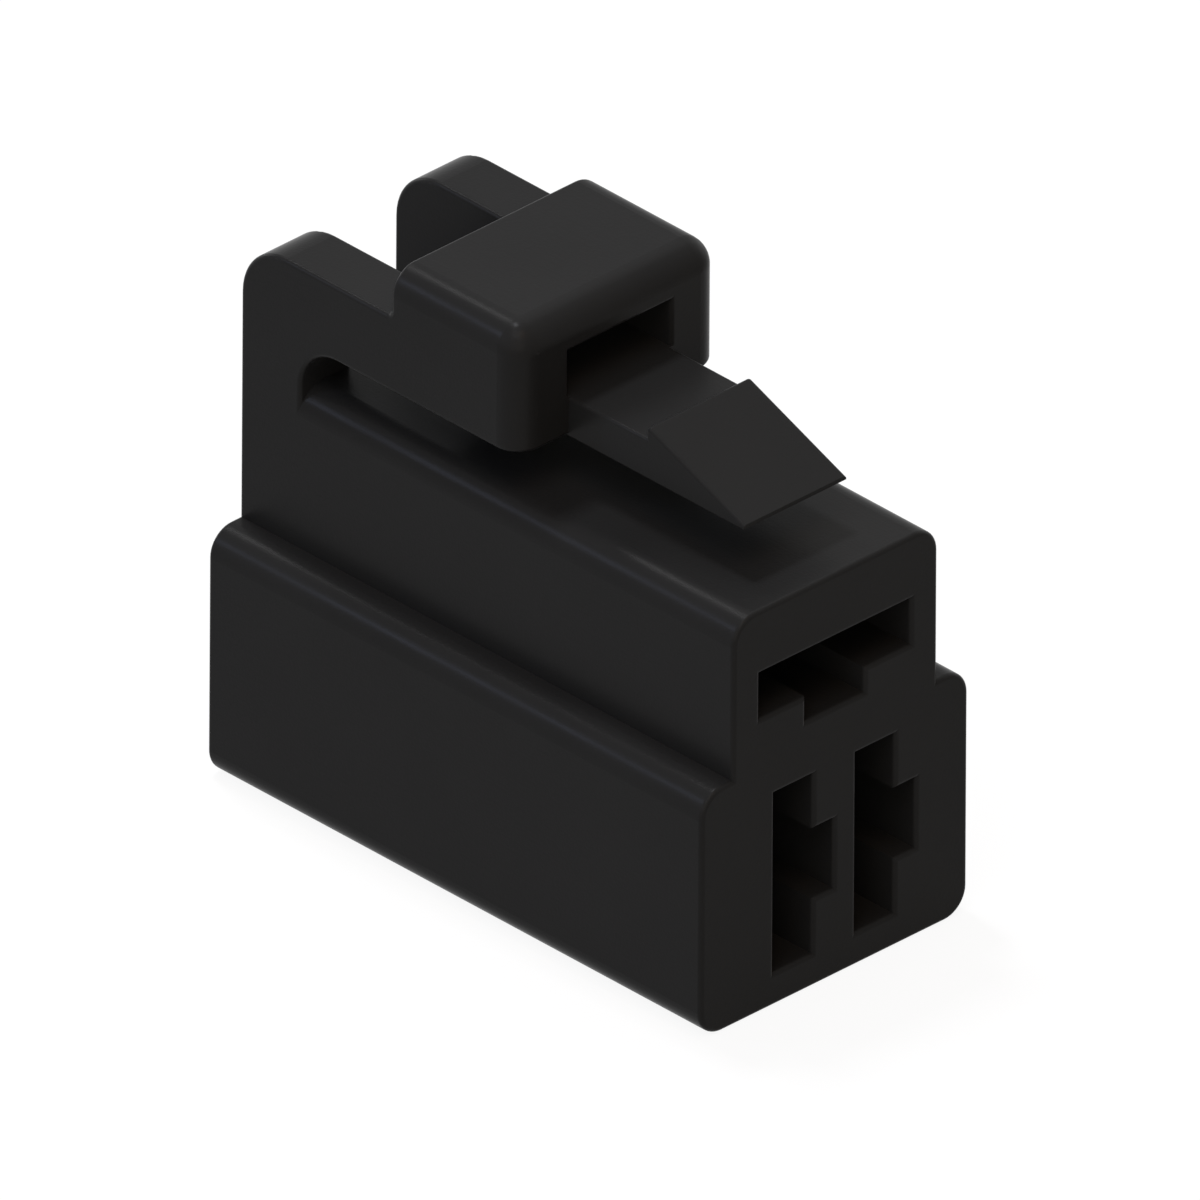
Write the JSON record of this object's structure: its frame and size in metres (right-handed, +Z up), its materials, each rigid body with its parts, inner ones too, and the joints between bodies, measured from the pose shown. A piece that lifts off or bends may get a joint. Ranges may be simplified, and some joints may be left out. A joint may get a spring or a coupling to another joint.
{
  "type": "connector housing",
  "caption": "Black plastic plug housing for flat receptacle terminals, with a stepped body, tang grooves, a bridged latch with a thumb press and a ramped catch.",
  "frame": {"origin": "centre of the housing's outline on its flat bottom face, halfway between the mating face and the wire side", "axes": "+Z up from the flat bottom to the latch, -Y out of the mating face, +Y out of the wire side, X across the plug"},
  "size_m": [0.0146, 0.028, 0.0262],
  "materials": {
    "black_pbt": "moulded, fine satin"
  },
  "bodies": {
    "root": {"housing": "black_pbt"}
  },
  "joints": []
}
